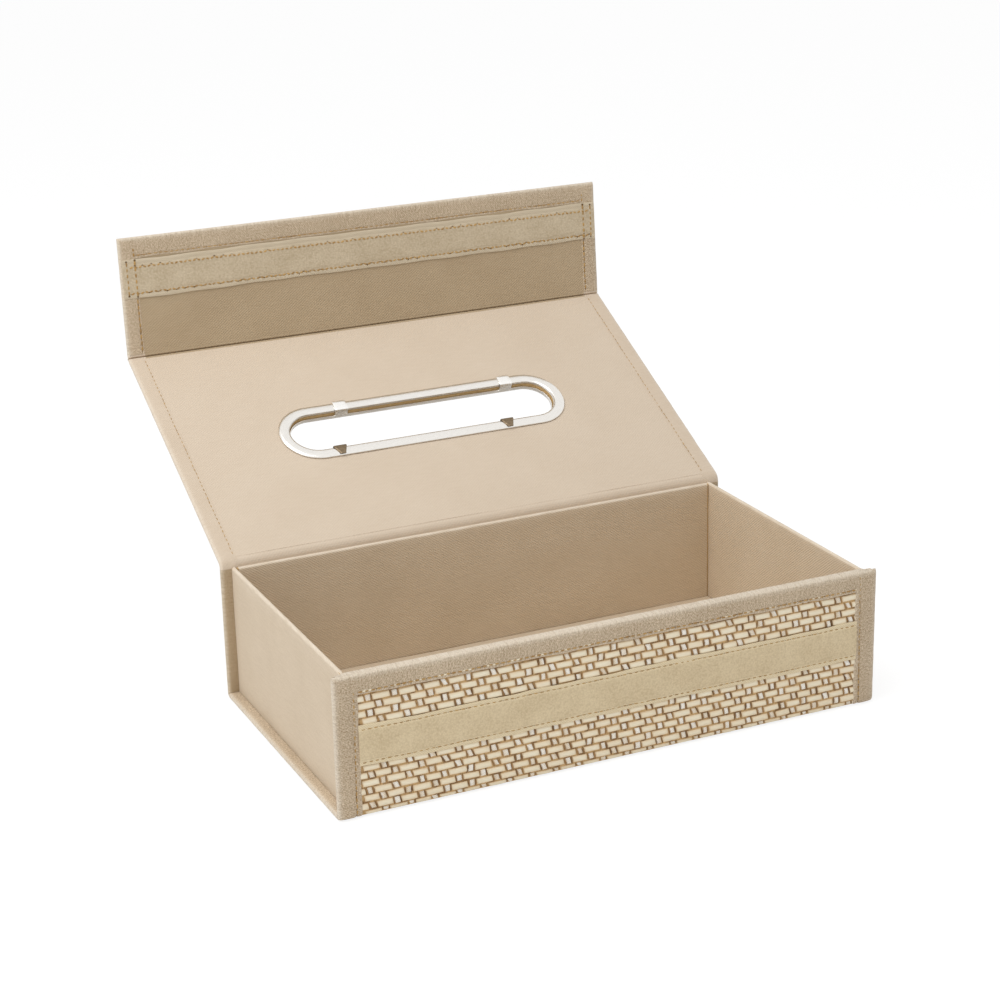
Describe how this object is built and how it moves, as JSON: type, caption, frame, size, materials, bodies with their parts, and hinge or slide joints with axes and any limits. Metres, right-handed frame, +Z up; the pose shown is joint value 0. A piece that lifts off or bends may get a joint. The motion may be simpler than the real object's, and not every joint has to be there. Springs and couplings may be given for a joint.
{
  "type": "tissue box",
  "caption": "Cloth tissue box: a lined tray in a fold-over cover of woven reed mat, with a metal-framed slot in the hinged lid and a flap that closes on the front with hook and loop tape.",
  "frame": {"origin": "middle of the underside of the box", "axes": "+X to the right along the width seen from the front, +Y from the front panel to the back panel, +Z up"},
  "size_m": [0.27, 0.2882, 0.198],
  "materials": {
    "reed_mat": "woven cream reed with thin brown threads",
    "lining_twill": "fine beige twill",
    "tray_cloth": "fine beige twill",
    "binding_tape": "matte beige tape",
    "loop_tape": "brushed loop pile",
    "hook_tape": "fine hooks with a slight sheen",
    "thread": "golden-brown sewing thread",
    "board": "pressed grey-brown board",
    "frame_metal": "bright satin pressing"
  },
  "bodies": {
    "box": {"front_mat": "reed_mat", "front_board": "board", "front_lining": "lining_twill", "front_left_binding": "binding_tape", "front_right_binding": "binding_tape", "front_top_binding": "binding_tape", "front_loop_tape": "loop_tape", "front_stitching": "thread", "bottom_mat": "reed_mat", "bottom_board": "board", "bottom_lining": "lining_twill", "bottom_left_binding": "binding_tape", "bottom_right_binding": "binding_tape", "back_mat": "reed_mat", "back_board": "board", "back_lining": "lining_twill", "back_left_binding": "binding_tape", "back_right_binding": "binding_tape", "back_stitching": "thread", "tray_floor_board": "board", "tray_floor_cloth": "tray_cloth", "tray_left_board": "board", "tray_left_cloth": "tray_cloth", "tray_right_board": "board", "tray_right_cloth": "tray_cloth", "tray_front_board": "board", "tray_front_cloth": "tray_cloth", "tray_back_board": "board", "tray_back_cloth": "tray_cloth", "lid_hinge_strip": "lining_twill"},
    "lid": {"lid_mat": "reed_mat", "lid_board": "board", "lid_lining": "lining_twill", "lid_left_binding": "binding_tape", "lid_right_binding": "binding_tape", "lid_stitching": "thread", "slot_frame": "frame_metal", "slot_backing_ring": "frame_metal", "flap_hinge_strip": "lining_twill"},
    "flap": {"flap_mat": "reed_mat", "flap_board": "board", "flap_lining": "lining_twill", "flap_left_binding": "binding_tape", "flap_right_binding": "binding_tape", "flap_edge_binding": "binding_tape", "flap_hook_tape": "hook_tape", "flap_stitching": "thread"}
  },
  "joints": [
    {"name": "lid_hinge", "type": "hinge", "parent": "box", "child": "lid", "pos_m": [0, 0.0726, 0.0685], "axis": [-1, 0, 0], "range_deg": [-153.5, 40], "deforming": ["lid_hinge_strip"]},
    {"name": "flap_hinge", "type": "hinge", "parent": "lid", "child": "flap", "pos_m": [0, 0.20711, 0.13556], "axis": [-1, 0, 0], "range_deg": [-30.5, 59.5], "deforming": ["flap_hinge_strip"]}
  ]
}
